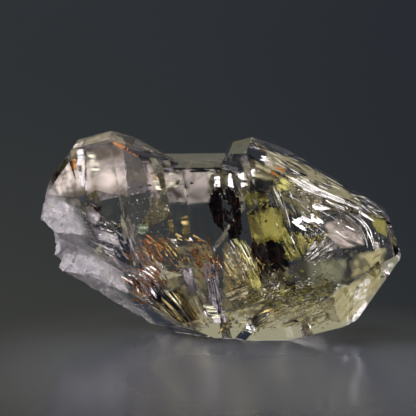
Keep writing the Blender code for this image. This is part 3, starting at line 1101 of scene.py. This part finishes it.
# The rust stains
# Iron rust left on the walls of cracks by water, before the quartz healed over them. The
# stains are thin, patchy and bright orange brown.
RUST = (0.66, 0.3, 0.1)
RUST_SHEETS = (
    dict(outline=[(140, 234), (160, 230), (168, 245), (160, 260), (145, 252)], depth=2.4,
         shine=(0, 88), grain=-40, ripple=0.08, ribs=4, gaps=0.35, soft=0.3, patchy=0.9, seed=111),
    dict(outline=[(124, 268), (150, 265), (168, 284), (150, 298)], depth=2.0, shine=(0, 88),
         grain=-45, ripple=0.08, ribs=5, gaps=0.35, soft=0.3, patchy=0.9, seed=112),
    dict(outline=[(71, 161), (75, 158), (77, 168), (73, 171)], depth=0.8, shine=(0, 90),
         ragged=0.04, seed=113),
    dict(outline=[(190, 247), (194, 247), (197, 258), (192, 256)], depth=1.6, shine=(0, 84),
         ragged=0.06, seed=114),
)
RUST_BUNDLES = (
    dict(starts=((121, 275), (152, 264)), ends=((144, 301), (170, 292)), count=10, bow=3,
         width=1.8, depth=1.0, shine=(0, 103), spread=2, jitter=1.0, seed=121),
)
RUST_RIBBONS = (
    dict(path=((113, 143), (126, 149), (138, 156)), width=4.5, depth=0.6, shine=(0, 90), seed=115),
    dict(path=((275, 167), (280, 169), (286, 171)), width=4.0, depth=0.9, shine=(0, 88), seed=116),
    dict(path=((256, 256), (259, 263), (262, 271)), width=2.5, depth=2.6, shine=(0, 84), seed=117),
)
RUST_HAIRS = (
    dict(outline=[(188, 240), (212, 240), (228, 272), (200, 272)], count=16, length=(4, 11),
         width=1.7, depth=(0.8, 2.2), shine=(0, 92), grain=-68, seed=120),
)
RUST_FLAKES = (
    dict(outline=[(186, 240), (215, 240), (225, 275), (200, 280)], count=60, size=0.08,
         depth=(1.0, 2.4), shine=(0, 92), spread=14, long=2.2, grain=-68, seed=118),
    dict(outline=[(140, 232), (170, 232), (190, 262), (160, 280), (140, 262)], count=120,
         size=0.07, depth=(1.0, 2.6), shine=(0, 90), spread=16, seed=119),
)

orange_finish = crack_finish("orange_stain_finish", RUST, roughness=0.25, cover=(0.4, 0.95))
crack_group(
    "rust_stains", orange_finish, sheets=RUST_SHEETS, bundles=RUST_BUNDLES, ribbons=RUST_RIBBONS,
    hairs=RUST_HAIRS, flakes=RUST_FLAKES
)


# The icy films
# Broad white cracks under the frosted left end, opened by the blow that broke it from its
# rock. Their walls are rough, so they shine like crushed ice.
ICE = (0.86, 0.83, 0.9)
ICY_SHEETS = (
    dict(outline=[(56, 226), (68, 222), (84, 238), (112, 268), (124, 300), (96, 290), (64, 270),
                  (60, 245)], depth=1.2, shine=(0, 88), grain=-35, ripple=0.05, ribs=1.0, soft=0.2,
         patchy=0.5, seed=86),
    dict(outline=[(40, 212), (56, 200), (72, 206), (80, 224), (60, 232)], depth=1.0,
         shine=OVER_LEFT_END, grain=-30, ripple=0.04, ribs=1.5, soft=0.2, patchy=0.5, seed=87),
    dict(outline=[(88, 224), (118, 236), (122, 248), (98, 240)], depth=1.6, shine=(0, 102),
         grain=-30, ripple=0.05, ribs=2, soft=0.2, patchy=0.5, seed=88),
    dict(outline=[(84, 206), (92, 204), (102, 216), (96, 226), (86, 220)], depth=1.4,
         shine=(0, 97), grain=-50, ripple=0.05, ribs=2, soft=0.2, patchy=0.5, seed=89),
)

ice_finish = crack_finish("icy_film_finish", ICE, roughness=0.3, cover=(0.8, 1.0))
crack_group("icy_films", ice_finish, sheets=ICY_SHEETS)


# The straw haze
# Broad, cloudy healed cracks deep in the stone, full of tiny drops of oil. They have no mirror
# shine and only warm the quartz in front of them.
HAZE_STRAW = (0.52, 0.48, 0.3)
HAZE_SHEETS = (
    dict(outline=[(222, 235), (262, 255), (290, 262), (300, 300), (262, 318), (220, 310)],
         depth=3.0, shine=(0, 90), grain=-60, ripple=0.07, ribs=2, soft=0.5, patchy=0.8, seed=121),
    dict(outline=[(285, 185), (330, 196), (352, 212), (320, 218), (292, 212)], depth=3.8,
         shine=(0, 90), grain=-60, ripple=0.07, ribs=2, soft=0.6, patchy=1.0, seed=123),
    dict(outline=[(265, 150), (300, 160), (375, 208), (350, 205), (300, 182), (262, 172)],
         depth=1.4, shine=(0, 92), grain=-30, ripple=0.06, soft=0.3, patchy=0.8, seed=125),
    dict(outline=[(165, 245), (215, 240), (222, 300), (200, 320), (160, 290)], depth=4.2,
         shine=(0, 88), grain=-60, ripple=0.07, ribs=2, soft=0.6, patchy=0.9, seed=126),
)

haze_finish = crack_finish("straw_haze_finish", HAZE_STRAW, roughness=0.4, cover=(0.6, 0.95))
crack_group("straw_haze", haze_finish, sheets=HAZE_SHEETS)


# The slate films of painted shade
# Nearly black plates, put inside the stone as painted shade where it looks dark. They lie under
# the crests of the saddle, round the clots and in dark lines along the top right edge.
PAINTED_SHADE_SLATE = (0.035, 0.038, 0.045)
PAINTED_SHADE_SHEETS = (
    dict(outline=[(243, 312), (262, 310), (264, 328), (248, 333)], depth=0.4, shine=UP, ragged=0.2,
         soft=0.45, patchy=0.8, seed=152),
    dict(outline=[(286, 312), (300, 313), (302, 328), (289, 331)], depth=0.4, shine=UP, ragged=0.2,
         soft=0.4, patchy=0.7, seed=153),
    dict(outline=[(281, 276), (298, 278), (296, 294), (284, 290)], depth=1.6, shine=UP, ragged=0.2,
         soft=0.3, patchy=0.7, seed=154),
    dict(outline=[(150, 292), (182, 284), (204, 320), (200, 334), (172, 322)], depth=2.2, shine=UP,
         ragged=0.2, soft=0.6, patchy=0.8, seed=158),
    dict(outline=[(248, 172), (284, 180), (280, 198), (250, 194)], depth=1.5, shine=(0, 60),
         ragged=0.2, soft=0.6, patchy=1.0, seed=159),
)
# Two broad dark ribbons that paint the shade under the crests of the saddle.
PAINTED_SHADE_RIBBONS = (
    dict(path=((166, 160), (177, 162), (188, 163)), width=6.0, depth=0.7, shine=(0, 94), seed=163),
    dict(path=((120, 147), (144, 154), (170, 160)), width=4.0, depth=0.6, shine=(0, 94), seed=164),
)
PAINTED_SHADE_HAIRS = (
    dict(outline=[(160, 290), (205, 300), (205, 335), (180, 328)], count=14, length=(12, 30),
         width=1.4, depth=(1.2, 1.6), shine=UP, grain=-55, seed=155),
    dict(outline=[(270, 190), (300, 190), (305, 230), (285, 235)], count=14, length=(10, 26),
         width=1.6, depth=(1.0, 2.5), shine=UP, grain=-70, seed=157),
    dict(outline=[(190, 160), (226, 161), (228, 167), (192, 166)], count=9, length=(10, 26),
         width=1.5, depth=(0.4, 0.8), shine=UP, grain=-3, sway=3, seed=166),
    dict(outline=[(262, 146), (300, 158), (352, 190), (376, 208), (350, 203), (300, 176),
                  (264, 158)], count=26, length=(8, 28), width=1.3, depth=(0.4, 1.4), shine=UP,
         grain=-30, sway=5, seed=167),
)

# A nearly black finish, for the painted shade.
painted_shade_finish = crack_finish("painted_shade_film_finish", PAINTED_SHADE_SLATE, roughness=0.3, cover=(0.85, 1.0))
crack_group(
    "painted_shade_films", painted_shade_finish, sheets=PAINTED_SHADE_SHEETS, ribbons=PAINTED_SHADE_RIBBONS,
    hairs=PAINTED_SHADE_HAIRS
)


# The green flecks
# Tiny plates of a green mineral, strewn through the clear quartz between the left and the
# middle crystal, and one larger flake of it. They were caught as the faces grew.
GREEN = (0.36, 0.46, 0.33)
GREEN_SHEETS = (
    dict(outline=[(138, 226), (147, 224), (149, 231), (141, 234)], depth=2.4, shine=(0, 88),
         ripple=0.06, ribs=4, gaps=0.2, seed=131),
)
GREEN_FLAKES = (
    dict(outline=[(127, 188), (164, 190), (168, 236), (130, 238)], count=200, size=0.04,
         depth=(1.5, 4.0), shine=(0, 88), spread=20, seed=132),
)

green_finish = crack_finish("green_fleck_finish", GREEN, roughness=0.3, cover=(0.4, 1.0))
crack_group("green_flecks", green_finish, sheets=GREEN_SHEETS, flakes=GREEN_FLAKES)


# The yellow oil
# Clear yellow oil in flat crumpled hollows beside the clots, shut in as the quartz grew. Oil
# bends light a little less than quartz, so it shows as a change of colour with soft edges.
# Each row: the hollow's outline in the photo, its depth, how many pebbles it is grown from and
# their size.
OIL_HOLLOWS = (
    ([(258, 208), (268, 205), (281, 208), (289, 222), (290, 240), (276, 243), (262, 241),
      (254, 234), (252, 218)], 3.0, 170, 0.30),
    ([(244, 195), (250, 192), (256, 200), (262, 208), (252, 212), (246, 204)], 3.0, 30, 0.22),
    ([(284, 242), (295, 240), (294, 256), (286, 258)], 2.9, 40, 0.22),
)
OIL_BOX = [(240, 190), (298, 262)]
OIL_DEPTH_STRAY = 0.06
OIL_FLATNESS = 0.5
OIL_VOXEL = 0.05
OIL_YELLOW = (0.97, 0.95, 0.60, 1)
OIL_IN_QUARTZ_REFRACTION = 0.96

rng = random.Random(140)
oil_pebbles = []
for outline, depth, count, size in OIL_HOLLOWS:
    window = window_at(*middle_of(outline))
    made = 0
    while made < count:
        u, v = near_outline(rng, OIL_BOX)
        if in_outline(u, v, outline):
            made += 1
            small = size * rng.uniform(0.6, 1.1)
            place = within(u, v, depth + rng.gauss(0, OIL_DEPTH_STRAY), window)
            turn = picture_turn(rng.uniform(-80, -40))
            oil_pebbles.append((place, (small, small, small * OIL_FLATNESS), turn))
oil_mesh = grown_lump("yellow_oil", oil_pebbles, OIL_VOXEL)

oil_finish, tree, shader = new_finish("yellow_oil_finish")
fill(tree, shader, {
    "Base Color": OIL_YELLOW, "Roughness": 0.02, "IOR": OIL_IN_QUARTZ_REFRACTION,
    "Transmission Weight": 1.0,
})
new_piece("yellow_oil", oil_mesh, oil_finish)


# The wall of the oil's hollow
# The far wall of the hollows that hold the oil. It is bare quartz, wet with oil, and mirrors
# the light back through it. It lies a little behind the oil and counts as part of it.
WALL_YELLOW = (0.62, 0.57, 0.22)
WALL_SHEETS = (
    dict(outline=[(259, 208), (268, 207), (279, 210), (287, 222), (288, 240), (276, 242),
                  (264, 240), (256, 234), (254, 220)], depth=4.2, shine=(-5, 100), grain=-60,
         ripple=0.022, ribs=2.0, gaps=0.1, ragged=0.25, seed=141),
    dict(outline=[(245, 195), (250, 193), (256, 203), (248, 206)], depth=4.0, shine=(0, 98),
         ripple=0.05, ragged=0.2, seed=142),
    dict(outline=[(284, 242), (294, 240), (292, 256), (286, 258)], depth=4.0, shine=(0, 98),
         grain=-60, ripple=0.06, gaps=0.2, ragged=0.2, seed=143),
)

yellow_finish = crack_finish("yellow_film_finish", WALL_YELLOW, roughness=0.2, cover=(0.6, 1.0))
crack_group("oil_hollow_wall", yellow_finish, sheets=WALL_SHEETS)


# The board, the light and the lens
# The stone lies on a plain, slightly glossy board with a painted pool of light: grey by its front,
# fading to dark slate behind it.
# Soft round glows light it all round, like lamps behind white cloth, and a close-up lens looks
# a little down on it.
BOARD_REACH = 3.0
BOARD_DROP = 0.02 * MM
BOARD_GREY_PAINTED_LIT = (0.105, 0.115, 0.135, 1)
BOARD_SLATE_PAINTED_UNLIT = (0.007, 0.012, 0.020, 1)
PAINTED_LIGHT_MIDDLE = (4 * MM, -16 * MM, 0)
PAINTED_LIGHT_RADIUS = 8 * MM
PAINTED_DARK_RADIUS = 30 * MM
ROOM_LIGHT = (0.021, 0.027, 0.041)
# Each glow: its turn from the front to the right, its height, the half width of its bright
# middle and of its faded edge, all in degrees, and its colour.
GLOWS = {
    "rear": (186, 30, 12, 21, (0.34, 0.315, 0.185)),
    "rear_left": (222, 22, 12, 24, (0.25, 0.235, 0.15)),
    "front_right": (33, 30, 12, 26, (0.25, 0.205, 0.19)),
    "top": (180, 76, 17, 31, (1.5, 1.42, 1.38)),
    "back_high": (207, 54, 12, 21, (1.3, 1.24, 1.16)),
    "key": (280, 37, 13, 23, (6.2, 5.8, 6.1)),
    "pink_fill": (312, 14, 7, 16, (0.60, 0.52, 0.46)),
    "right": (112, 20, 10, 28, (0.24, 0.215, 0.20)),
    "front": (0, 33, 14, 27, (0.95, 0.88, 0.64)),
}
FAR_CLIP = 10.0
DEEP_BOUNCES = 32
GLOSSY_BOUNCES = 16

camera_data = bpy.data.cameras.new("close_up_lens")
camera_data.lens = LENS_MM
camera_data.sensor_width = SENSOR_MM
camera_data.clip_start = lens_distance / 10
camera_data.clip_end = FAR_CLIP
camera = bpy.data.objects.new("close_up_camera", camera_data)
bpy.context.scene.collection.objects.link(camera)
camera.location = lens_at
camera.rotation_mode = "QUATERNION"
camera.rotation_quaternion = (-lens_back).to_track_quat("-Z", "Y")
bpy.context.scene.camera = camera

board_mesh = bpy.data.meshes.new("board")
bm = bmesh.new()
bmesh.ops.create_grid(bm, x_segments=1, y_segments=1, size=BOARD_REACH)
bm.to_mesh(board_mesh)
bm.free()
board = bpy.data.objects.new("board", board_mesh)
bpy.context.scene.collection.objects.link(board)
board.location = (0, 0, -BOARD_DROP)
board_finish, tree, shader = new_finish("board_finish")
on_the_board = new_node(tree, "ShaderNodeTexCoord", {})["Object"]
# The grey by the front that fades to slate further off is a painted pool of light round the stone.
from_middle = new_node(
    tree, "ShaderNodeVectorMath", {0: on_the_board, 1: PAINTED_LIGHT_MIDDLE}, operation="SUBTRACT"
)["Vector"]
distance = new_node(tree, "ShaderNodeVectorMath", {0: from_middle}, operation="LENGTH")["Value"]
painted_light_falloff = new_node(
    tree, "ShaderNodeMapRange",
    {"From Min": PAINTED_LIGHT_RADIUS, "From Max": PAINTED_DARK_RADIUS, "Value": distance},
    interpolation_type="SMOOTHSTEP",
)["Result"]
board_painted_light = new_node(
    tree, "ShaderNodeMix", {"A": BOARD_GREY_PAINTED_LIT, "B": BOARD_SLATE_PAINTED_UNLIT, "Factor": painted_light_falloff}, data_type="RGBA"
)["Result"]
fill(tree, shader, {"Base Color": board_painted_light, "Roughness": 0.2, "Specular IOR Level": 0.25})
board_mesh.materials.append(board_finish)

world = bpy.data.worlds.new("studio")
bpy.context.scene.world = world
world.use_nodes = True
dome = world.node_tree
looked_at = new_node(dome, "ShaderNodeTexCoord", {})["Generated"]
total = ROOM_LIGHT
for turn, height, middle, edge, colour in GLOWS.values():
    a, h = math.radians(turn), math.radians(height)
    towards = (math.cos(h) * math.sin(a), -math.cos(h) * math.cos(a), math.sin(h))
    near = new_node(
        dome, "ShaderNodeVectorMath", {0: looked_at, 1: towards}, operation="DOT_PRODUCT"
    )["Value"]
    soft = new_node(
        dome, "ShaderNodeMapRange",
        {"From Min": math.cos(math.radians(edge)), "From Max": math.cos(math.radians(middle)),
         "Value": near},
        interpolation_type="SMOOTHSTEP",
    )["Result"]
    glow = new_node(dome, "ShaderNodeVectorMath", {0: colour, "Scale": soft}, operation="SCALE")
    total = new_node(
        dome, "ShaderNodeVectorMath", {0: glow["Vector"], 1: total}, operation="ADD"
    )["Vector"]
fill(dome, dome.nodes["Background"], {"Color": total})

scene = bpy.context.scene
scene.view_settings.view_transform = "Standard"
scene.cycles.max_bounces = DEEP_BOUNCES
scene.cycles.transmission_bounces = DEEP_BOUNCES
scene.cycles.transparent_max_bounces = DEEP_BOUNCES
scene.cycles.glossy_bounces = GLOSSY_BOUNCES
scene.cycles.blur_glossy = 0.0
